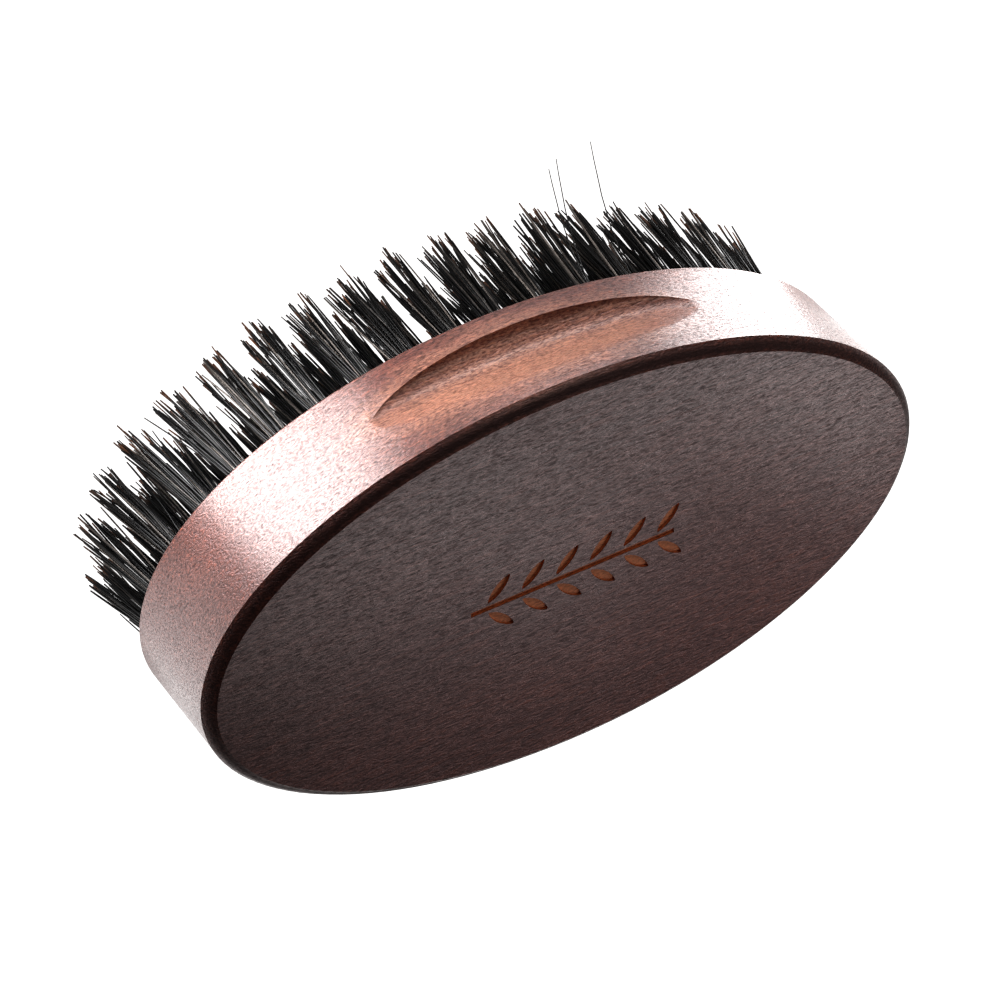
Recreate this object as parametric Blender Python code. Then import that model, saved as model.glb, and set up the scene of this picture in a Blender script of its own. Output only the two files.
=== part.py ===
"""Oval palm beard brush: a one-piece wood block with finger grooves and bristle tufts set in blind holes.

Frame: +Z up with the flat back face on top, the long axis along X and the bristle tips on the plane z = 0.
Every size is in metres. A tuft's own frame has x along its row, y across it and z = 0 on the wood's front face.
"""
import math

import bmesh
import bpy
from mathutils import Matrix, Vector

# Wood block: an elliptical slab with straight sides and two eased edges, nearly flat chamfers
BLOCK_LENGTH = 0.096
BLOCK_WIDTH = 0.054
BLOCK_THICKNESS = 0.018
BACK_EDGE_WIDTH = 0.0014
FRONT_EDGE_WIDTH = 0.0009
OUTLINE_SEGMENTS = 128
EDGE_SEGMENTS = 3
EDGE_PROFILE = 0.32

# Finger grooves: one lens-shaped scoop in each long side, at half the block's thickness.
# Its depth is steep on the bristle side and fades out towards the back face.
GROOVE_LENGTH = 0.0432
GROOVE_HEIGHT = 0.0098
GROOVE_DEPTH = 0.0022
GROOVE_OFFSET = 0.002
GROOVE_STEEP_POWER = 0.75
GROOVE_FADE_POWER = 1.5
GROOVE_STATIONS = 31
GROOVE_RISES = 14
GROOVE_OVERRUN = 1.2
GROOVE_TIP_SHARE = 0.03

# Bristle field: closed oval rings around one straight centre row
BRISTLE_LENGTH = 0.0184
EDGE_MARGIN = 0.0046
RING_PITCH = 0.0054
TUFT_PITCH = 0.0058
JOINED_PITCH = 0.0054
END_FAN = math.radians(8.0)
SIDE_FAN = math.radians(5.0)

# Tufts: round where they are set in the wood, flared at the tips
HOLE_RADIUS = 0.0017
HOLE_DEPTH = 0.008
HOLE_CLEARANCE = 0.0003
TUFT_NECK = 0.0005
TIP_CLEARANCE = 0.0006
JOINED_OVERLAP = 0.0003
TUFT_SIDES = 8

# Engraved sprig on the back face: a stem with pairs of slanted leaves
SPRIG_DEPTH = 0.00035
STEM_LENGTH = 0.0275
STEM_WIDTH = 0.0007
LEAF_PAIRS = 6
LEAF_LENGTH = 0.0044
LEAF_WIDTH = 0.0013
LEAF_SLANT = math.radians(44.0)
LEAF_GAP = 0.0004
LEAF_POINTS = 14

# How far a cutter reaches past the surface that it opens
CUT_MARGIN = 0.001

SEMI_X = BLOCK_LENGTH / 2
SEMI_Y = BLOCK_WIDTH / 2
FRONT_Z = BRISTLE_LENGTH
BACK_Z = FRONT_Z + BLOCK_THICKNESS
MIDDLE_Z = (FRONT_Z + BACK_Z) / 2
FIELD_X = SEMI_X - EDGE_MARGIN
FIELD_Y = SEMI_Y - EDGE_MARGIN


def clear_scene():
    for item in list(bpy.data.objects):
        bpy.data.objects.remove(item, do_unlink=True)


def new_collection(name):
    collection = bpy.data.collections.new(name)
    bpy.context.scene.collection.children.link(collection)
    return collection


def new_material(name, color, roughness):
    material = bpy.data.materials.new(name)
    material.use_nodes = True
    shader = material.node_tree.nodes["Principled BSDF"]
    shader.inputs["Base Color"].default_value = (*color, 1.0)
    shader.inputs["Roughness"].default_value = roughness
    shader.inputs["Metallic"].default_value = 0.0
    return material


def object_from_bmesh(bm, name, collection, material=None):
    bm.normal_update()
    bmesh.ops.recalc_face_normals(bm, faces=bm.faces)
    mesh = bpy.data.meshes.new(name)
    bm.to_mesh(mesh)
    bm.free()
    mesh.shade_smooth()
    mesh.set_sharp_from_angle(angle=math.radians(35.0))
    if material:
        mesh.materials.append(material)
    item = bpy.data.objects.new(name, mesh)
    collection.objects.link(item)
    return item


def mark_as_cutter(item):
    item.hide_render = True
    item.display_type = "WIRE"


def add_boolean(target, operand, operation):
    modifier = target.modifiers.new(operand.name, "BOOLEAN")
    modifier.operation = operation
    modifier.solver = "EXACT"
    modifier.object = operand


def side_y(x):
    """Half-width of the block at x."""
    return SEMI_Y * math.sqrt(1.0 - (x / SEMI_X) ** 2)


# ---------------------------------------------------------------- wood block

def make_block_blank(collection, material):
    bm = bmesh.new()
    size = Matrix.Diagonal((SEMI_X, SEMI_Y, 1.0, 1.0))
    centre = Matrix.Translation((0.0, 0.0, MIDDLE_Z))
    bmesh.ops.create_cone(
        bm, cap_ends=True, segments=OUTLINE_SEGMENTS, radius1=1.0, radius2=1.0,
        depth=BLOCK_THICKNESS, matrix=centre @ size,
    )
    for level, width in ((BACK_Z, BACK_EDGE_WIDTH), (FRONT_Z, FRONT_EDGE_WIDTH)):
        rim = [edge for edge in bm.edges if all(abs(v.co.z - level) < 1e-6 for v in edge.verts)]
        bmesh.ops.bevel(
            bm, geom=rim, offset=width, segments=EDGE_SEGMENTS, profile=EDGE_PROFILE, affect="EDGES",
        )
    return object_from_bmesh(bm, "wood_block", collection, material)


def groove_profile(rise):
    """Depth of the groove at this share of its height, as a share of its deepest."""
    deepest = GROOVE_STEEP_POWER / (GROOVE_STEEP_POWER + GROOVE_FADE_POWER)
    scale = deepest ** GROOVE_STEEP_POWER * (1 - deepest) ** GROOVE_FADE_POWER
    return rise ** GROOVE_STEEP_POWER * (1 - rise) ** GROOVE_FADE_POWER / scale


def groove_section(share):
    """The cutter's outline at this share of the groove's half-length: its scoop, then two corners outside the block."""
    x = GROOVE_OFFSET + share * GROOVE_LENGTH / 2
    depth = GROOVE_DEPTH * (1 - share ** 2)
    half_height = GROOVE_HEIGHT / 2 * math.sqrt(max(1 - share ** 2, GROOVE_TIP_SHARE))
    outside = SEMI_Y + CUT_MARGIN
    section = []
    for index in range(GROOVE_RISES + 1):
        rise = (index / GROOVE_RISES) ** 1.5
        # past the groove's tips the whole section stands clear of the side
        inward = depth * groove_profile(rise) if depth > 0 else depth
        section.append((x, side_y(x) - inward, MIDDLE_Z + (2 * rise - 1) * half_height))
    section.append((x, outside, MIDDLE_Z + half_height))
    section.append((x, outside, MIDDLE_Z - half_height))
    return section


def make_groove_cutter(name, side, collection):
    """A closed bar along the long side whose inner face is the scoop."""
    bm = bmesh.new()
    rings = []
    for index in range(GROOVE_STATIONS):
        share = GROOVE_OVERRUN * (2 * index / (GROOVE_STATIONS - 1) - 1)
        rings.append([bm.verts.new((x, side * y, z)) for x, y, z in groove_section(share)])
    corners = len(rings[0])
    for before, after in zip(rings, rings[1:]):
        for corner in range(corners):
            following = (corner + 1) % corners
            bm.faces.new((before[corner], before[following], after[following], after[corner]))
    bm.faces.new(rings[0])
    bm.faces.new(rings[-1])
    cutter = object_from_bmesh(bm, name, collection)
    mark_as_cutter(cutter)
    return cutter


def leaf_outline(bm, centre, angle):
    """A flat pointed leaf on the plane z = 0, returned as its single face."""
    place = Matrix.Translation(centre) @ Matrix.Rotation(angle, 4, "Z")
    circle = bmesh.ops.create_circle(bm, cap_ends=True, segments=LEAF_POINTS, radius=1.0)
    for vert in circle["verts"]:
        across = vert.co.x * abs(vert.co.x) ** 0.5
        vert.co = place @ Vector((vert.co.y * LEAF_LENGTH / 2, across * LEAF_WIDTH / 2, 0.0))
    return circle["verts"][0].link_faces[0]


def make_sprig_cutter(collection):
    bm = bmesh.new()
    stem = Matrix.Diagonal((STEM_LENGTH / 2, STEM_WIDTH / 2, 1.0, 1.0))
    bar = bmesh.ops.create_grid(bm, x_segments=1, y_segments=1, size=1.0, matrix=stem)
    outlines = [bar["verts"][0].link_faces[0]]
    leaf_step = STEM_LENGTH / LEAF_PAIRS
    reach_along = math.cos(LEAF_SLANT) * LEAF_LENGTH / 2
    reach_across = math.sin(LEAF_SLANT) * LEAF_LENGTH / 2 + STEM_WIDTH / 2 + LEAF_GAP
    for index in range(LEAF_PAIRS):
        root = (index - (LEAF_PAIRS - 1) / 2) * leaf_step
        for side in (-1, 1):
            centre = (root + reach_along, side * reach_across, 0.0)
            outlines.append(leaf_outline(bm, centre, side * LEAF_SLANT))
    bmesh.ops.translate(bm, verts=bm.verts, vec=(0.0, 0.0, BACK_Z - SPRIG_DEPTH))
    walls = bmesh.ops.extrude_face_region(bm, geom=outlines, use_keep_orig=True)
    raised = [element for element in walls["geom"] if isinstance(element, bmesh.types.BMVert)]
    bmesh.ops.translate(bm, verts=raised, vec=(0.0, 0.0, SPRIG_DEPTH + CUT_MARGIN))
    cutter = object_from_bmesh(bm, "sprig_cutter", collection)
    mark_as_cutter(cutter)
    return cutter


def make_hole_cutter(tufts, collection):
    """One mesh of every tuft hole, each drilled along its own tuft."""
    bm = bmesh.new()
    depth = HOLE_DEPTH + CUT_MARGIN
    middle = Matrix.Translation((0.0, 0.0, (HOLE_DEPTH - CUT_MARGIN) / 2))
    for tuft in tufts:
        bmesh.ops.create_cone(
            bm, cap_ends=True, segments=TUFT_SIDES, radius1=HOLE_RADIUS, radius2=HOLE_RADIUS,
            depth=depth, matrix=tuft_placement(tuft) @ middle,
        )
    cutter = object_from_bmesh(bm, "hole_cutter", collection)
    mark_as_cutter(cutter)
    return cutter


def make_block(rows, collection, cutters, material):
    block = make_block_blank(collection, material)
    for side, name in ((1, "groove_cutter_left"), (-1, "groove_cutter_right")):
        add_boolean(block, make_groove_cutter(name, side, cutters), "DIFFERENCE")
    add_boolean(block, make_hole_cutter([tuft for row in rows for tuft in row], cutters), "DIFFERENCE")
    add_boolean(block, make_sprig_cutter(cutters), "DIFFERENCE")
    return block


# ---------------------------------------------------------------- bristle layout

def ellipse_point(semi_x, semi_y, angle):
    return Vector((semi_x * math.cos(angle), semi_y * math.sin(angle), 0.0))


def even_points(semi_x, semi_y, count, shift):
    """Points at equal steps along an ellipse, with their directions of travel; shift is in steps."""
    fine = 2880
    angles = [2 * math.pi * index / fine for index in range(fine + 1)]
    travelled = [0.0]
    for before, after in zip(angles, angles[1:]):
        step = ellipse_point(semi_x, semi_y, after) - ellipse_point(semi_x, semi_y, before)
        travelled.append(travelled[-1] + step.length)
    points = []
    nearest = 0
    for index in range(count):
        wanted = travelled[-1] * (index + shift) / count
        while travelled[nearest + 1] < wanted:
            nearest += 1
        share = (wanted - travelled[nearest]) / (travelled[nearest + 1] - travelled[nearest])
        angle = angles[nearest] + share * (angles[1] - angles[0])
        heading = math.atan2(semi_y * math.cos(angle), -semi_x * math.sin(angle))
        points.append((ellipse_point(semi_x, semi_y, angle), heading))
    return points


def ellipse_length(semi_x, semi_y):
    """Ramanujan's formula for an ellipse's circumference."""
    total = semi_x + semi_y
    return math.pi * (3 * total - math.sqrt((3 * semi_x + semi_y) * (semi_x + 3 * semi_y)))


def even_count(length, pitch):
    return 2 * round(length / pitch / 2)


def tuft_rows():
    """The rings from the outside in and then the centre row, each a list of (root, heading)."""
    rows = []
    outer_count = even_count(ellipse_length(FIELD_X, FIELD_Y), TUFT_PITCH)
    ring_count = math.floor(FIELD_Y / RING_PITCH)
    for ring in range(ring_count):
        semi_x = FIELD_X - ring * RING_PITCH
        semi_y = FIELD_Y - ring * RING_PITCH
        # the second ring stands behind the gaps of the outer one
        count = outer_count if ring < 2 else even_count(ellipse_length(semi_x, semi_y), JOINED_PITCH)
        rows.append(even_points(semi_x, semi_y, count, 0.0 if ring % 2 else 0.5))
    # the centre row ends where the innermost ring comes within a ring's pitch of it
    row_half = semi_x * math.sqrt(1.0 - (RING_PITCH / semi_y) ** 2)
    steps = math.floor(2 * row_half / JOINED_PITCH)
    rows.append([(Vector(((index - steps / 2) * JOINED_PITCH, 0.0, 0.0)), 0.0) for index in range(steps + 1)])
    return rows


def fan_slopes(root):
    """Outward lean of a tuft, in sideways distance for each unit of its length."""
    return root.x / FIELD_X * math.tan(END_FAN), root.y / FIELD_Y * math.tan(SIDE_FAN)


def tuft_placement(tuft):
    """From the tuft's own frame to the brush: turned to its row, leaning outward, rooted on the front face."""
    root, heading = tuft
    slope_x, slope_y = fan_slopes(root)
    lean = Matrix.Identity(4)
    lean[0][2] = -slope_x
    lean[1][2] = -slope_y
    stand = Matrix.Translation((root.x, root.y, FRONT_Z))
    return stand @ lean @ Matrix.Rotation(heading, 4, "Z")


def tip_steps(row, closed):
    """Distances between the tips of neighbouring tufts in a row."""
    tips = [tuft_placement(tuft) @ Vector((0.0, 0.0, -BRISTLE_LENGTH)) for tuft in row]
    followers = tips[1:] + tips[:1] if closed else tips[1:]
    return [(after - before).length for before, after in zip(tips, followers)]


# ---------------------------------------------------------------- tufts

def add_tuft(name, tuft, tip_along, collection, material):
    """A round stem in its hole that flares below a short neck to its flat-trimmed tips."""
    stem_radius = HOLE_RADIUS - HOLE_CLEARANCE
    tip_across = (RING_PITCH - TIP_CLEARANCE) / 2
    stem_top = HOLE_DEPTH - HOLE_CLEARANCE
    bm = bmesh.new()
    bmesh.ops.create_cone(
        bm, cap_ends=True, segments=TUFT_SIDES, radius1=stem_radius, radius2=stem_radius,
        depth=stem_top + BRISTLE_LENGTH,
        matrix=Matrix.Translation((0.0, 0.0, (stem_top - BRISTLE_LENGTH) / 2)),
    )
    everything = bm.verts[:] + bm.edges[:] + bm.faces[:]
    bmesh.ops.bisect_plane(bm, geom=everything, plane_co=(0.0, 0.0, -TUFT_NECK), plane_no=(0.0, 0.0, 1.0))
    tips = [vert for vert in bm.verts if vert.co.z < -TUFT_NECK - 1e-6]
    flare = (tip_along / stem_radius, tip_across / stem_radius, 1.0)
    bmesh.ops.scale(bm, verts=tips, vec=flare)
    bm.transform(tuft_placement(tuft))
    return object_from_bmesh(bm, name, collection, material)


def make_outer_tufts(row, collection, material):
    """The outer ring's tufts, each a solid of its own, clear of its neighbours."""
    tip_along = (min(tip_steps(row, True)) - TIP_CLEARANCE) / 2
    for index, tuft in enumerate(row, start=1):
        add_tuft(f"tuft_outer_{index:02d}", tuft, tip_along, collection, material)


def make_joined_row(name, row, closed, collection, cutters, material):
    """A row of tufts whose flared tips run into each other, as one solid."""
    flat_share = math.cos(math.pi / TUFT_SIDES)
    tip_along = (max(tip_steps(row, closed)) / 2 + JOINED_OVERLAP) / flat_share
    joined = add_tuft(name, row[0], tip_along, collection, material)
    for index, tuft in enumerate(row[1:], start=2):
        operand = add_tuft(f"{name}_tuft_{index:02d}", tuft, tip_along, cutters, material)
        mark_as_cutter(operand)
        add_boolean(joined, operand, "UNION")
    return joined


def main():
    clear_scene()
    parts = new_collection("beard_brush")
    cutters = new_collection("beard_brush_cutters")
    wood = new_material("stained_wood", (0.10, 0.065, 0.060), 0.45)
    bristle = new_material("bristle", (0.012, 0.012, 0.014), 0.55)

    rows = tuft_rows()
    make_block(rows, parts, cutters, wood)
    make_outer_tufts(rows[0], parts, bristle)
    for number, row in enumerate(rows[1:-1], start=2):
        make_joined_row(f"tuft_ring_{number}", row, True, parts, cutters, bristle)
    make_joined_row("tuft_centre_row", rows[-1], False, parts, cutters, bristle)


main()
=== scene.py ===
"""Looks of the beard brush: stained beech block, bristle tufts and the wire anchors inside the block."""
import math

import bmesh
import bpy
import numpy as np
from mathutils import Matrix, Vector


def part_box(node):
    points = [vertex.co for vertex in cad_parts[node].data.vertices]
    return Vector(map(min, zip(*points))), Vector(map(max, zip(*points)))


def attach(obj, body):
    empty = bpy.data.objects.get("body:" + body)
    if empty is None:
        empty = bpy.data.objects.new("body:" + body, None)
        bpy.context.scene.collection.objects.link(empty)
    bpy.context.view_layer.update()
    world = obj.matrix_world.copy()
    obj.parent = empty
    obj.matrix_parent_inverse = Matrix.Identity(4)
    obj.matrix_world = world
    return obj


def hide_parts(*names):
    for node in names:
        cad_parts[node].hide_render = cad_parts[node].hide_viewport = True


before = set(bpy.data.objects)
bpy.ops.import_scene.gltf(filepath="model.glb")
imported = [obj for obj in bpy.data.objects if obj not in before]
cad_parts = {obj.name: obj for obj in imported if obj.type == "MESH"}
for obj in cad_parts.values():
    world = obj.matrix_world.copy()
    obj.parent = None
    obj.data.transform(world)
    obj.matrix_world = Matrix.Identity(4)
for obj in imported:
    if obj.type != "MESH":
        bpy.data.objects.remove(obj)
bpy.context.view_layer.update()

WOOD_LOW, WOOD_HIGH = (Vector(corner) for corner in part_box("wood_block"))
FRONT_Z = WOOD_LOW.z
BACK_Z = WOOD_HIGH.z
BACK_MIDDLE = (0.0, 0.0, BACK_Z)

# Camera: a long lens above the brush on its +Y side, rolled so that the bristles point to the upper left
CAMERA_PLACE = (-0.17523, 0.32020, 0.36278)
CAMERA_FORWARD = (0.34896, -0.63990, -0.68465)
CAMERA_UP = (0.35705, 0.76627, -0.53419)
CAMERA_LENS = 151.17

# Studio: a white floor and world, softboxes above the brush, and light panels on the floor around it.
# The camera sees the floor and world brighter than the light that they give off.
FLOOR_SIZE = 2.5
FLOOR_SEEN = 1.05
FLOOR_LIGHT = 0.42
WORLD_SEEN = 1.1
WORLD_LIGHT = 0.03
SOFTBOX_SIZE = (0.045, 0.032)
# (name, place, power, whether it lights the wood as well as its gloss)
SOFTBOXES = (
    ("softbox_right", (0.0820, -0.0405, 0.1049), 0.0190, False),
    ("softbox_middle", (0.0350, -0.0405, 0.1049), 0.0110, True),
    ("softbox_left", (-0.0050, -0.0405, 0.1049), 0.0090, False),
)
# (name, place, size, power, color)
FILL_BOX = ("softbox_fill", (0.1225, 0.2930, 0.2105), (0.10, 0.10), 0.09, (1.0, 0.84, 0.70))
PANEL_LIFT = 0.0006
# (name, bearing in degrees, place, (depth, width), power)
FLOOR_PANELS = (
    ("panel_right", 20, (0.0595, 0.0310), (0.028, 0.040), 0.028),
    ("panel_left", 133, (-0.0410, 0.0465), (0.034, 0.038), 0.064),
    ("panel_front", 75, (0.0220, 0.0850), (0.050, 0.060), 0.046),
    ("panel_far_right", -5, (0.0850, -0.0050), (0.040, 0.040), 0.008),
    ("panel_far_left", 187, (-0.0860, -0.0060), (0.055, 0.060), 0.021),
    ("panel_rear_left", 237, (-0.0420, -0.0650), (0.055, 0.075), 0.012),
    ("panel_rear_right", 293, (0.0300, -0.0720), (0.055, 0.075), 0.016),
)

# Wood
WELD_DISTANCE = 4e-6
SHARP_ANGLE = math.radians(30.0)
BUMP_STRENGTH = 0.90
BUMP_DISTANCE = 0.00020
# the sprig: half its box along x and y, and the depths below the back face that it lies between
ENGRAVING_REACH = (0.0150, 0.0060)
ENGRAVING_DEPTHS = (0.00006, 0.0010)
# painted shade on the back chamfer: how deep it reaches, and how its two borders waver and fade
PAINTED_SHADE_DEPTH = 0.00125
EDGE_WAVER = 0.00024
EDGE_RISE = 0.00030
EDGE_FALL = 0.00060
# the paler grain and painted light around a finger groove: its half sizes along x and z, its middle, and
# where the sides begin
GROOVE_REACH = (0.0225, 0.0070)
GROOVE_Z = FRONT_Z + 0.0092
GROOVE_SIDE = 0.018

# Tufts: bundles of bristles folded over a flat wire anchor at the bottom of each hole
BRISTLES_PER_TUFT = 42
BUNCHES_PER_TUFT = 8
BRISTLE_RADIUS = 0.000120
TUFT_GRIP = 0.00122
TIP_SPREAD = 0.0024
BRISTLE_SIDES = 5
BRISTLE_SEED = 4127
HEIGHT_SHARES = np.array((0.0, 0.22, 0.45, 0.68, 0.90, 1.0))
NEAR_TIP_WIDTH = 0.95
TIP_WIDTH = 0.74
SPREAD_POWER = 1.15
SPREAD_PULL = 0.5
GOLDEN_ANGLE = 2.39996
# a direction that no bristle runs along, to set each tube's corners by
TUBE_GUIDE = (0.3, 0.9, 0.1)

# How uneven the bristles are: a spread is a standard deviation, and a share is a chance for each bristle
LEAN_SPREAD = 0.020
BUNCH_TURN_SPREAD = 0.3
BUNCH_SPREAD = 0.00025
BUNCH_PULL = 0.55
TRIM_SPREAD = 0.00015
TURN_SPREAD = 0.2
TIP_HEIGHT_SPREAD = 0.00085
TIP_CLEARANCE = 0.00014
SHORT_SHARE = 0.10
SHORTER_BY = (0.0006, 0.0032)
SCATTER_SPREAD = 0.00020
WILD_SHARE = 0.06
WILD_SPREAD = 0.0010
BOW_SPREAD = 0.00020
WIDTH_RANGE = (0.72, 1.2)
SPLIT_SHARE = 0.45
SPLIT_RANGE = (0.35, 1.0)

# The few long stray hairs: each grows from the outer tuft nearest to STRAY_FOOT times its tip's x and y
STRAY_TIPS = ((0.0248, 0.0309, 0.0012), (0.0199, 0.0305, 0.0014), (0.0191, 0.0290, 0.0009))
STRAY_FOOT = 0.78
# their shares of TUFT_GRIP and BRISTLE_RADIUS, and their taper, bow and range of shades
STRAY_GRIP = 0.8
STRAY_WIDTH = 0.9
STRAY_TAPER = (1.0, 0.5)
STRAY_BOW = 0.0009
STRAY_SHADES = (0.5, 0.75)

# Wire anchors, and how the bristles fold over them just under each stem's cap
ANCHOR_SIZE = (0.0026, 0.00024, 0.0014)
ANCHOR_SINK = 0.0010
ANCHOR_BEVEL = 0.00006
ANCHOR_FAN = 3.0
FOLD_SINK = 0.0003
FOLD_GAP = 0.00028

# Reading the tufts back from the CAD nodes
SAME_PLACE = 1e-6
SAME_HEIGHT = 1e-5
NECK_REACH = 0.0032


# ---------------------------------------------------------------- studio

def add_camera():
    data = bpy.data.cameras.new("camera")
    data.lens = CAMERA_LENS
    data.sensor_width = 36.0
    data.clip_start = 0.01
    data.clip_end = 20.0
    camera = bpy.data.objects.new("camera", data)
    bpy.context.scene.collection.objects.link(camera)
    forward = Vector(CAMERA_FORWARD).normalized()
    right = forward.cross(Vector(CAMERA_UP)).normalized()
    up = right.cross(forward)
    turn = Matrix((right, up, -forward)).transposed()
    camera.matrix_world = Matrix.Translation(CAMERA_PLACE) @ turn.to_4x4()
    bpy.context.scene.camera = camera


def new_material(name):
    material = bpy.data.materials.new(name)
    material.use_nodes = True
    tree = material.node_tree
    return material, tree, tree.nodes["Principled BSDF"]


def add_floor():
    bm = bmesh.new()
    bmesh.ops.create_grid(bm, x_segments=8, y_segments=8, size=FLOOR_SIZE)
    mesh = bpy.data.meshes.new("floor")
    bm.to_mesh(mesh)
    bm.free()
    floor = bpy.data.objects.new("floor", mesh)
    bpy.context.scene.collection.objects.link(floor)
    material, tree, shader = new_material("floor_white")
    shader.inputs["Base Color"].default_value = (0.85, 0.85, 0.85, 1.0)
    shader.inputs["Roughness"].default_value = 0.8
    shader.inputs["Emission Color"].default_value = (1.0, 0.995, 0.99, 1.0)
    link(tree, seen_and_felt(tree, FLOOR_SEEN, FLOOR_LIGHT), shader.inputs["Emission Strength"])
    mesh.materials.append(material)


def aimed(place, target):
    """The matrix of a light at place that faces target."""
    aim = Vector(target) - Vector(place)
    return Matrix.Translation(place) @ aim.to_track_quat("-Z", "Y").to_matrix().to_4x4()


def add_area_light(name, stand, size, power):
    data = bpy.data.lights.new(name, "AREA")
    data.shape = "RECTANGLE"
    data.size, data.size_y = size
    data.energy = power
    light = bpy.data.objects.new(name, data)
    light.visible_camera = False
    bpy.context.scene.collection.objects.link(light)
    light.matrix_world = stand
    return light


def add_floor_panel(name, heading, place, size, power):
    """A soft light panel that lies on the floor beside the brush and faces up."""
    turn = Matrix.Rotation(math.radians(heading) + math.pi / 2, 4, "Z") @ Matrix.Rotation(math.pi, 4, "X")
    depth, width = size
    add_area_light(name, Matrix.Translation((*place, PANEL_LIFT)) @ turn, (width, depth), power)


def add_lights():
    for name, place, power, lights_wood in SOFTBOXES:
        light = add_area_light(name, aimed(place, BACK_MIDDLE), SOFTBOX_SIZE, power)
        light.visible_diffuse = lights_wood
    name, place, size, power, color = FILL_BOX
    fill = add_area_light(name, aimed(place, BACK_MIDDLE), size, power)
    fill.data.color = color
    for name, heading, place, size, power in FLOOR_PANELS:
        add_floor_panel(name, heading, place, size, power)


def seen_and_felt(tree, seen, felt):
    """A strength that the camera sees as white, whatever the stage gives off as light."""
    path = tree.nodes.new("ShaderNodeLightPath")
    strength = tree.nodes.new("ShaderNodeMapRange")
    strength.inputs["To Min"].default_value = felt
    strength.inputs["To Max"].default_value = seen
    tree.links.new(path.outputs["Is Camera Ray"], strength.inputs["Value"])
    return strength.outputs["Result"]


def add_world():
    world = bpy.data.worlds.new("studio")
    bpy.context.scene.world = world
    world.use_nodes = True
    tree = world.node_tree
    background = tree.nodes["Background"]
    background.inputs["Color"].default_value = (1.0, 1.0, 1.0, 1.0)
    tree.links.new(seen_and_felt(tree, WORLD_SEEN, WORLD_LIGHT), background.inputs["Strength"])


# ---------------------------------------------------------------- node helpers

def node(tree, kind, **settings):
    made = tree.nodes.new(kind)
    for key, value in settings.items():
        setattr(made, key, value)
    return made


def link(tree, source, target):
    tree.links.new(source, target)


def noise(tree, coordinate, stretch, detail=3.0, roughness=0.55, distortion=0.0, offset=(0.0, 0.0, 0.0)):
    """Noise whose cells are 1 / stretch metres long along each axis."""
    mapping = node(tree, "ShaderNodeMapping")
    mapping.inputs["Scale"].default_value = stretch
    mapping.inputs["Location"].default_value = offset
    link(tree, coordinate, mapping.inputs["Vector"])
    made = node(tree, "ShaderNodeTexNoise")
    made.inputs["Scale"].default_value = 1.0
    made.inputs["Detail"].default_value = detail
    made.inputs["Roughness"].default_value = roughness
    made.inputs["Distortion"].default_value = distortion
    link(tree, mapping.outputs["Vector"], made.inputs["Vector"])
    return made.outputs["Fac"]


def ramp(tree, value, stops):
    """A colour or grey for each (position, color) stop of value."""
    made = node(tree, "ShaderNodeValToRGB")
    elements = made.color_ramp.elements
    while len(elements) < len(stops):
        elements.new(0.5)
    for element, (position, color) in zip(elements, stops):
        element.position = position
        element.color = (*color, 1.0) if isinstance(color, tuple) else (color, color, color, 1.0)
    link(tree, value, made.inputs["Fac"])
    return made.outputs["Color"]


def math_node(tree, operation, first, second=None, clamp=False):
    made = node(tree, "ShaderNodeMath", operation=operation, use_clamp=clamp)
    for socket, value in zip(made.inputs, (first, second)):
        if value is None:
            continue
        if isinstance(value, (int, float)):
            socket.default_value = value
        else:
            link(tree, value, socket)
    return made.outputs[0]


def mix_color(tree, factor, first, second, blend="MIX"):
    made = node(tree, "ShaderNodeMix", data_type="RGBA", blend_type=blend)
    sockets = (made.inputs["Factor"], made.inputs[6], made.inputs[7])
    for socket, value in zip(sockets, (factor, first, second)):
        if isinstance(value, (int, float)):
            socket.default_value = value
        elif isinstance(value, tuple):
            socket.default_value = (*value, 1.0)
        else:
            link(tree, value, socket)
    return made.outputs[2]


def shaded(tree, base, value, stops):
    """base, darkened or lightened by a ramp of value."""
    return mix_color(tree, 1.0, base, ramp(tree, value, stops), "MULTIPLY")


def weighted_sum(tree, first, first_weight, second, second_weight):
    first_part = math_node(tree, "MULTIPLY", first, first_weight)
    return math_node(tree, "ADD", first_part, math_node(tree, "MULTIPLY", second, second_weight))


def split_axes(tree, place):
    """The x, y and z sockets of a position."""
    axes = node(tree, "ShaderNodeSeparateXYZ")
    link(tree, place, axes.inputs[0])
    return axes.outputs


# ---------------------------------------------------------------- wood

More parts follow.
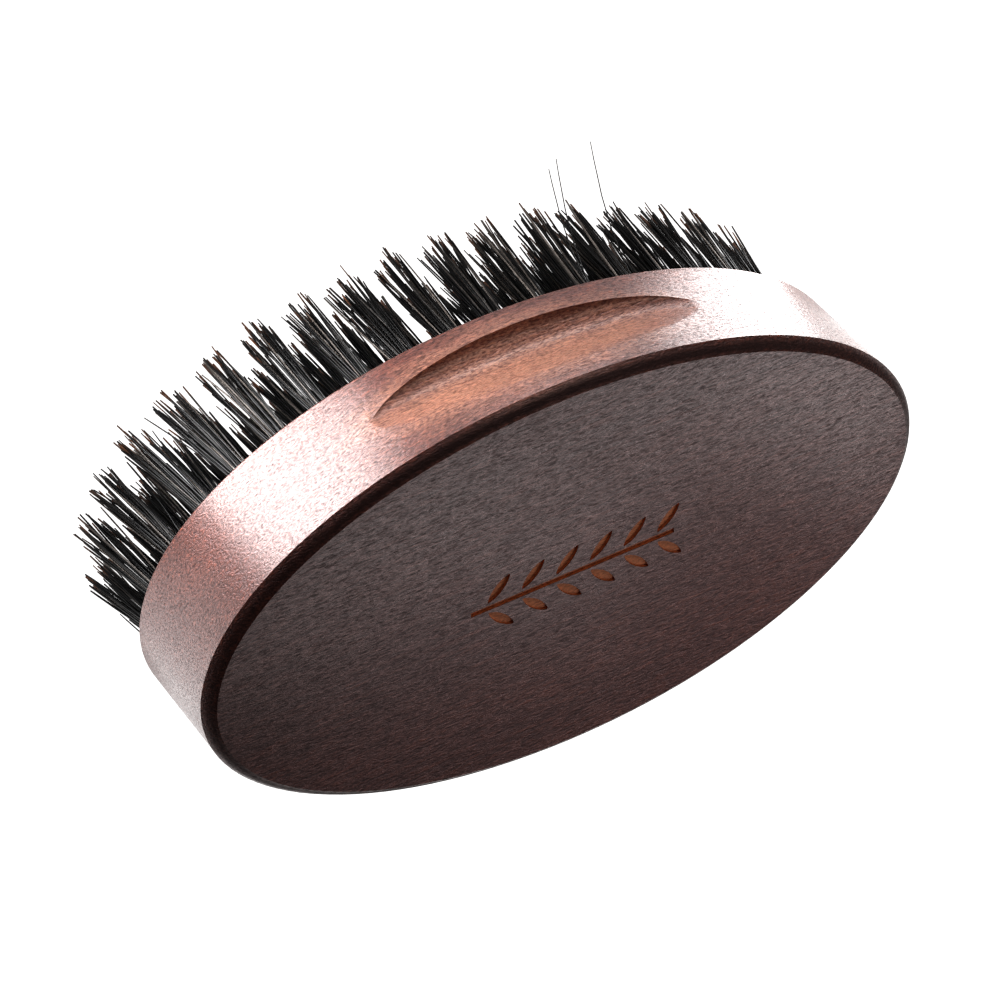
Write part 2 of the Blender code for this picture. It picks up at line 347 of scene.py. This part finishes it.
def wood_material():
    """Dark-stained beech: fine fibres, dark flecks, warm streaks and a satin lacquer.

    The back chamfer is darkened with painted shade, the finger grooves are paler with bared grain and painted
    light, and the sprig is burnt in.
    """
    material, tree, shader = new_material("stained_beech")
    place = node(tree, "ShaderNodeTexCoord").outputs["Object"]

    fibres = noise(tree, place, (340.0, 5200.0, 5200.0), detail=3.0, roughness=0.65, distortion=0.3)
    flecks = noise(tree, place, (760.0, 4200.0, 4200.0), detail=1.5, offset=(0.3, 0.1, 0.7))
    speckle = noise(tree, place, (1700.0, 4600.0, 4600.0), detail=2.0, roughness=0.65, offset=(5.0, 3.0, 1.0))
    bands = noise(tree, place, (12.0, 150.0, 150.0), detail=3.0, offset=(2.0, 1.0, 4.0))
    streaks = noise(tree, place, (110.0, 1700.0, 1700.0), detail=2.0, offset=(7.0, 2.0, 6.0))

    base = ramp(tree, fibres, (
        (0.32, (0.056, 0.016, 0.012)),
        (0.50, (0.106, 0.032, 0.022)),
        (0.68, (0.180, 0.058, 0.039)),
    ))
    base = shaded(tree, base, bands, ((0.32, 0.80), (0.68, 1.20)))
    warm = ramp(tree, streaks, ((0.56, 0.0), (0.70, 0.55)))
    base = mix_color(tree, warm, base, (0.240, 0.064, 0.034))
    base = shaded(tree, base, flecks, ((0.34, 0.38), (0.45, 1.0), (0.70, 1.22)))
    base = shaded(tree, base, speckle, ((0.36, 0.50), (0.50, 1.0), (0.64, 1.60)))

    # paler, warmer colour in the finger grooves: bared grain, and painted light on their walls
    grain_and_painted_light = ramp(tree, speckle, ((0.36, (0.20, 0.080, 0.052)), (0.64, (0.72, 0.345, 0.220))))
    grain_and_painted_light = shaded(tree, grain_and_painted_light, fibres, ((0.35, 0.70), (0.65, 1.30)))
    base = mix_color(tree, groove_grain_and_light(tree, place), base, grain_and_painted_light)
    # painted shade: the back chamfer is darkened to near black, made rough and left without lacquer
    edge = painted_chamfer_shade(tree, place)
    base = mix_color(tree, edge, base, (0.012, 0.004, 0.003))
    engraved = engraving_mask(tree, place)
    burnt = ramp(tree, speckle, ((0.35, (0.52, 0.180, 0.070)), (0.62, (0.90, 0.350, 0.150))))
    base = mix_color(tree, engraved, base, burnt)
    link(tree, base, shader.inputs["Base Color"])

    uneven = weighted_sum(tree, speckle, 0.6, flecks, 0.4)
    rough = ramp(tree, uneven, ((0.36, 0.49), (0.50, 0.34), (0.64, 0.24)))
    link(tree, mix_color(tree, edge, rough, (0.80, 0.80, 0.80)), shader.inputs["Roughness"])
    shader.inputs["Specular IOR Level"].default_value = 0.78
    shader.inputs["Specular Tint"].default_value = (1.0, 0.66, 0.66, 1.0)
    lacquer = ramp(tree, uneven, ((0.38, 0.16), (0.50, 0.58), (0.62, 0.84)))
    bare = math_node(tree, "SUBTRACT", math_node(tree, "SUBTRACT", 1.0, engraved), edge, clamp=True)
    link(tree, math_node(tree, "MULTIPLY", lacquer, bare), shader.inputs["Coat Weight"])
    shader.inputs["Coat Roughness"].default_value = 0.30

    bump = node(tree, "ShaderNodeBump")
    bump.inputs["Strength"].default_value = BUMP_STRENGTH
    bump.inputs["Distance"].default_value = BUMP_DISTANCE
    link(tree, weighted_sum(tree, fibres, 0.5, uneven, 0.8), bump.inputs["Height"])
    link(tree, bump.outputs["Normal"], shader.inputs["Normal"])
    return material


def band_mask(tree, value, low, high):
    """1 where value lies between low and high, else 0."""
    above = math_node(tree, "GREATER_THAN", value, low)
    return math_node(tree, "MULTIPLY", above, math_node(tree, "LESS_THAN", value, high))


def engraving_mask(tree, place):
    """1 in the sprig's recess, which lies just below the back face around its middle."""
    x, y, z = split_axes(tree, place)
    along, across = ENGRAVING_REACH
    shallow, deep = ENGRAVING_DEPTHS
    lengthwise = band_mask(tree, x, -along, along)
    inside = math_node(tree, "MULTIPLY", lengthwise, band_mask(tree, y, -across, across))
    return math_node(tree, "MULTIPLY", inside, band_mask(tree, z, BACK_Z - deep, BACK_Z - shallow))


def painted_chamfer_shade(tree, place):
    """Painted shade on the chamfer around the back face, which faces away from the lights: 0.9 along the
    sides, 0.5 at the ends.
    """
    x, _, z = split_axes(tree, place)
    waver = noise(tree, place, (420.0, 900.0, 900.0), offset=(1.0, 8.0, 2.0))
    depth = math_node(tree, "SUBTRACT", BACK_Z + EDGE_WAVER / 2, z)
    depth = math_node(tree, "ADD", depth, math_node(tree, "MULTIPLY", waver, -EDGE_WAVER))
    rising = math_node(tree, "DIVIDE", depth, EDGE_RISE, clamp=True)
    margin = math_node(tree, "SUBTRACT", PAINTED_SHADE_DEPTH, depth)
    falling = math_node(tree, "DIVIDE", margin, EDGE_FALL, clamp=True)
    outward = math_node(tree, "MULTIPLY", math_node(tree, "ABSOLUTE", x), 1.0 / WOOD_HIGH.x)
    ends = ramp(tree, outward, ((0.45, 0.90), (0.95, 0.50)))
    return math_node(tree, "MULTIPLY", math_node(tree, "MULTIPLY", rising, falling), ends)


def groove_grain_and_light(tree, place):
    """Up to 0.7 in and around the two finger grooves: the cut grain showing paler through the stain, and
    painted light on their walls.
    """
    x, y, z = split_axes(tree, place)
    waver = noise(tree, place, (160.0, 500.0, 500.0), detail=3.0, offset=(3.0, 3.0, 9.0))
    along = math_node(tree, "DIVIDE", x, GROOVE_REACH[0])
    across = math_node(tree, "DIVIDE", math_node(tree, "SUBTRACT", z, GROOVE_Z), GROOVE_REACH[1])
    squares = [math_node(tree, "POWER", share, 2.0) for share in (along, across)]
    reach = math_node(tree, "SQRT", math_node(tree, "ADD", *squares))
    near = ramp(tree, weighted_sum(tree, reach, 0.5, waver, 0.3), ((0.42, 0.70), (0.72, 0.0)))
    side = math_node(tree, "GREATER_THAN", math_node(tree, "ABSOLUTE", y), GROOVE_SIDE)
    return math_node(tree, "MULTIPLY", near, side)


def smoothing_group():
    """Geometry nodes that shade a faceted import smooth, apart from its real edges."""
    group = bpy.data.node_groups.new("smooth_by_angle", "GeometryNodeTree")
    group.interface.new_socket("Geometry", in_out="INPUT", socket_type="NodeSocketGeometry")
    group.interface.new_socket("Geometry", in_out="OUTPUT", socket_type="NodeSocketGeometry")
    begin = group.nodes.new("NodeGroupInput")
    end = group.nodes.new("NodeGroupOutput")
    plain = group.nodes.new("GeometryNodeRemoveAttribute")
    plain.inputs["Name"].default_value = "custom_normal"
    faces = group.nodes.new("GeometryNodeSetShadeSmooth")
    faces.domain = "FACE"
    edges = group.nodes.new("GeometryNodeSetShadeSmooth")
    edges.domain = "EDGE"
    angle = group.nodes.new("GeometryNodeInputMeshEdgeAngle")
    gentle = group.nodes.new("FunctionNodeCompare")
    gentle.data_type = "FLOAT"
    gentle.operation = "LESS_THAN"
    gentle.inputs[1].default_value = SHARP_ANGLE
    group.links.new(angle.outputs["Unsigned Angle"], gentle.inputs[0])
    group.links.new(gentle.outputs["Result"], edges.inputs["Shade Smooth"])
    for before, after in ((begin, plain), (plain, faces), (faces, edges), (edges, end)):
        group.links.new(before.outputs["Geometry"], after.inputs["Geometry"])
    return group


def dress_block():
    """The CAD block in its own mesh, with the wood material and smooth shading."""
    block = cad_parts["wood_block"]
    material = wood_material()
    block.data.materials.clear()
    block.data.materials.append(material)
    block.modifiers.new("weld", "WELD").merge_threshold = WELD_DISTANCE
    block.modifiers.new("smooth", "NODES").node_group = smoothing_group()
    block.modifiers.new("even_shading", "WEIGHTED_NORMAL").keep_sharp = True


# ---------------------------------------------------------------- bristles

def bristle_material():
    """Near-black hair with a few grey ones; fibre holds each hair's shade, place along it and split tip."""
    material, tree, shader = new_material("bristle_hair")
    fibre = node(tree, "ShaderNodeAttribute", attribute_name="fibre")
    parts = node(tree, "ShaderNodeSeparateColor")
    link(tree, fibre.outputs["Color"], parts.inputs[0])
    shade, along, split = parts.outputs
    place = node(tree, "ShaderNodeTexCoord").outputs["Object"]
    fine = noise(tree, place, (2500.0, 2500.0, 700.0), detail=2.0)

    body = ramp(tree, shade, (
        (0.00, (0.0018, 0.0018, 0.0024)),
        (0.68, (0.0050, 0.0046, 0.0052)),
        (0.82, (0.040, 0.035, 0.032)),
        (1.00, (0.300, 0.265, 0.240)),
    ))
    body = shaded(tree, body, fine, ((0.35, 0.75), (0.65, 1.25)))
    tip = math_node(tree, "MULTIPLY", ramp(tree, along, ((0.86, 0.0), (0.97, 1.0))), split)
    body = mix_color(tree, tip, body, (0.30, 0.125, 0.060))
    link(tree, body, shader.inputs["Base Color"])
    rough = ramp(tree, fine, ((0.3, 0.28), (0.7, 0.42)))
    link(tree, rough, shader.inputs["Roughness"])
    shader.inputs["Specular IOR Level"].default_value = 0.32
    return material


def around_then_along(axis):
    cap = axis[0]
    return round(math.atan2(cap.y, cap.x), 6), round(cap.x, 6)


def tuft_axes(name):
    """Each tuft of a CAD node as (middle of its stem's cap, middle of its neck)."""
    bm = bmesh.new()
    bm.from_mesh(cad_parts[name].data)
    bmesh.ops.remove_doubles(bm, verts=bm.verts, dist=SAME_PLACE)
    cap_z = max(vert.co.z for vert in bm.verts)
    neck_z = max(vert.co.z for vert in bm.verts if vert.co.z < FRONT_Z)
    necks = [vert.co.copy() for vert in bm.verts if abs(vert.co.z - neck_z) < SAME_HEIGHT]
    left = {vert for vert in bm.verts if abs(vert.co.z - cap_z) < SAME_HEIGHT}
    axes = []
    while left:
        group = [left.pop()]
        for vert in group:
            for edge in vert.link_edges:
                other = edge.other_vert(vert)
                if other in left:
                    left.remove(other)
                    group.append(other)
        cap = sum((vert.co for vert in group), Vector()) / len(group)
        near = [point for point in necks if (point.xy - cap.xy).length < NECK_REACH]
        axes.append((cap, sum(near, Vector()) / len(near)))
    bm.free()
    return sorted(axes, key=around_then_along)


def bristle_tube(path, radii):
    """Rings of BRISTLE_SIDES points around each path point; path is (n, 3), radii is (n,)."""
    heading = np.gradient(path, axis=0)
    heading /= np.linalg.norm(heading, axis=1, keepdims=True)
    side = np.cross(heading, TUBE_GUIDE)
    side /= np.linalg.norm(side, axis=1, keepdims=True)
    other = np.cross(heading, side)
    turns = np.arange(BRISTLE_SIDES) * 2 * np.pi / BRISTLE_SIDES
    ring = side[:, None] * np.cos(turns)[None, :, None] + other[:, None] * np.sin(turns)[None, :, None]
    return path[:, None] + ring * radii[:, None, None]


def tube_faces(stations):
    """The side faces and the two end caps of one bristle's tube."""
    faces = []
    for station in range(stations - 1):
        for corner in range(BRISTLE_SIDES):
            after = (corner + 1) % BRISTLE_SIDES
            low = station * BRISTLE_SIDES
            high = low + BRISTLE_SIDES
            faces.append((low + corner, low + after, high + after, high + corner))
    caps = [tuple(reversed(range(BRISTLE_SIDES)))]
    last = (stations - 1) * BRISTLE_SIDES
    caps.append(tuple(range(last, last + BRISTLE_SIDES)))
    return faces, caps


def bristle_path(cap, root, tip, top_offset, bow):
    """From the anchor down through the hole and then in a slight bow to the tip."""
    path = np.empty((len(HEIGHT_SHARES) + 1, 3))
    path[0] = (cap.x + top_offset[0], cap.y + top_offset[1], cap.z - FOLD_SINK)
    for index, share in enumerate(HEIGHT_SHARES, start=1):
        # leaves the hole along the tuft and then spreads
        level = root + (tip - root) * share
        late = (tip - root)[:2] * (share ** SPREAD_POWER - share) * SPREAD_PULL
        level[:2] += bow * math.sin(math.pi * share) + late
        path[index] = level
    return path


def bristle_radii(width):
    radii = np.full(len(HEIGHT_SHARES) + 1, width)
    radii[-2] = width * NEAR_TIP_WIDTH
    radii[-1] = width * TIP_WIDTH
    return radii


def anchor_direction(cap):
    """The way a tuft's two halves fold apart, roughly outward from the middle; its anchor lies across it."""
    heading = math.atan2(cap.y * ANCHOR_FAN, cap.x)
    return np.array((math.cos(heading), math.sin(heading)))


def tuft_bristles(cap, neck, rng):
    """(path, radii, shade, split) of each of one tuft's bristles."""
    slope = np.array((neck - cap).xy) / (cap.z - neck.z) + rng.normal(0.0, LEAN_SPREAD, 2)
    foot = np.array(neck)
    across = anchor_direction(cap)
    bunches = []
    for number in range(BUNCHES_PER_TUFT):
        angle = number * GOLDEN_ANGLE + rng.normal(0.0, BUNCH_TURN_SPREAD)
        reach = math.sqrt((number + 0.5) / BUNCHES_PER_TUFT) * TIP_SPREAD
        middle = np.array((math.cos(angle), math.sin(angle))) * reach
        bunches.append(middle + rng.normal(0.0, BUNCH_SPREAD, 2))
    tuft_trim = rng.normal(0.0, TRIM_SPREAD)
    made = []
    for number in range(BRISTLES_PER_TUFT):
        reach = math.sqrt((number + 0.5) / BRISTLES_PER_TUFT)
        angle = number * GOLDEN_ANGLE + rng.normal(0.0, TURN_SPREAD)
        out = np.array((math.cos(angle), math.sin(angle))) * reach
        tip_z = abs(rng.normal(0.0, TIP_HEIGHT_SPREAD) + tuft_trim) + TIP_CLEARANCE
        if rng.random() < SHORT_SHARE:
            tip_z += rng.uniform(*SHORTER_BY)
        spread = out * TIP_SPREAD
        nearest = min(bunches, key=lambda bunch: float(np.hypot(*(bunch - spread))))
        spread = spread + (nearest - spread) * BUNCH_PULL + rng.normal(0.0, SCATTER_SPREAD, 2)
        if rng.random() < WILD_SHARE:
            spread += rng.normal(0.0, WILD_SPREAD, 2)
        drop = foot[2] - tip_z
        root = foot + (*(out * TUFT_GRIP), 0.0)
        tip = np.array((*(foot[:2] + spread + slope * drop), tip_z))
        top = out * TUFT_GRIP
        beside = float(top @ across)
        top = top + across * (math.copysign(max(abs(beside), FOLD_GAP), beside) - beside)
        path = bristle_path(cap, root, tip, top, rng.normal(0.0, BOW_SPREAD, 2))
        width = BRISTLE_RADIUS * rng.uniform(*WIDTH_RANGE)
        split = rng.uniform(*SPLIT_RANGE) if rng.random() < SPLIT_SHARE else 0.0
        made.append((path, bristle_radii(width), rng.random(), split))
    return made


def stray_hair(cap, neck, tip, rng):
    """One long thin hair that leaves the tuft and bends outward to its own tip."""
    out = np.array(neck.xy) / np.linalg.norm(neck.xy) * TUFT_GRIP * STRAY_GRIP
    root = np.array((neck.x + out[0], neck.y + out[1], neck.z))
    bow = -out / np.linalg.norm(out) * STRAY_BOW
    path = bristle_path(cap, root, np.array(tip), out, bow)
    radii = np.linspace(*STRAY_TAPER, len(path)) * BRISTLE_RADIUS * STRAY_WIDTH
    return path, radii, rng.uniform(*STRAY_SHADES), 0.0


def new_piece(name, mesh, node_name=None):
    piece = bpy.data.objects.new(name, mesh)
    bpy.context.scene.collection.objects.link(piece)
    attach(piece, "root")
    if node_name:
        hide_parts(node_name)


def bristle_piece(name, axes, strays, seed, material):
    """All the bristles of one CAD node as one mesh of separate closed tubes."""
    rng = np.random.default_rng((BRISTLE_SEED, seed))
    bristles = []
    for cap, neck in axes:
        bristles += tuft_bristles(cap, neck, rng)
    bristles += [stray_hair(*axes[0], tip, rng) for tip in strays]
    stations = len(HEIGHT_SHARES) + 1
    sides, caps = tube_faces(stations)
    along = np.concatenate(((0.0,), HEIGHT_SHARES))
    verts, faces, fibre = [], [], []
    for number, (path, radii, shade, split) in enumerate(bristles):
        verts.append(bristle_tube(path, radii).reshape(-1, 3))
        start = number * stations * BRISTLE_SIDES
        faces.extend([tuple(start + corner for corner in face) for face in sides + caps])
        marks = np.ones((stations, BRISTLE_SIDES, 4))
        marks[..., 0] = shade
        marks[..., 1] = along[:, None]
        marks[..., 2] = split
        fibre.append(marks.reshape(-1, 4))
    mesh = bpy.data.meshes.new(f"bristles_{name}")
    mesh.from_pydata(np.concatenate(verts).tolist(), [], faces)
    mesh.shade_smooth()
    color = mesh.color_attributes.new("fibre", "FLOAT_COLOR", "POINT")
    color.data.foreach_set("color", np.concatenate(fibre).astype(np.float32).ravel())
    mesh.materials.append(material)
    new_piece(f"bristles_{name}", mesh, name)


def anchor_material():
    material, tree, shader = new_material("anchor_wire")
    place = node(tree, "ShaderNodeTexCoord").outputs["Object"]
    drawn = noise(tree, place, (900.0, 900.0, 5000.0), detail=2.0)
    steel = ramp(tree, drawn, ((0.3, (0.42, 0.42, 0.40)), (0.7, (0.62, 0.61, 0.58))))
    link(tree, steel, shader.inputs["Base Color"])
    link(tree, ramp(tree, drawn, ((0.3, 0.30), (0.7, 0.48))), shader.inputs["Roughness"])
    shader.inputs["Metallic"].default_value = 1.0
    return material


def anchor_piece(name, axes, material):
    """The flat wire anchors of one CAD node's tufts, each on edge across the bottom of its hole."""
    bm = bmesh.new()
    for cap, _ in axes:
        across = anchor_direction(cap)
        turn = Matrix.Rotation(math.atan2(across[1], across[0]) + math.pi / 2, 4, "Z")
        place = Matrix.Translation((cap.x, cap.y, cap.z - ANCHOR_SINK)) @ turn
        bmesh.ops.create_cube(bm, size=1.0, matrix=place @ Matrix.Diagonal((*ANCHOR_SIZE, 1.0)))
    bmesh.ops.bevel(bm, geom=bm.edges[:], offset=ANCHOR_BEVEL, segments=2, profile=0.5, affect="EDGES")
    mesh = bpy.data.meshes.new(name)
    bm.to_mesh(mesh)
    bm.free()
    mesh.materials.append(material)
    new_piece(name, mesh)


def add_tufts():
    """Every tuft node's bristles and anchors; a stray hair grows from the outer tuft nearest its tip."""
    bristle = bristle_material()
    wire = anchor_material()
    names = sorted(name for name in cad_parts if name.startswith("tuft_"))
    axes = {name: tuft_axes(name) for name in names}
    outer = [name for name in names if name.startswith("tuft_outer")]
    strays = {name: [] for name in names}
    for tip in STRAY_TIPS:
        foot = Vector(tip).xy * STRAY_FOOT
        strays[min(outer, key=lambda name: (axes[name][0][1].xy - foot).length)].append(tip)
    for seed, name in enumerate(names):
        bristle_piece(name, axes[name], strays[name], seed, bristle)
    anchor_piece("anchors_outer_ring", [axes[name][0] for name in outer], wire)
    for name in names:
        if name not in outer:
            anchor_piece(name.replace("tuft", "anchors"), axes[name], wire)


bpy.context.scene.view_settings.view_transform = "Standard"
bpy.context.scene.view_settings.look = "Medium High Contrast"
add_camera()
add_world()
add_floor()
add_lights()
dress_block()
add_tufts()
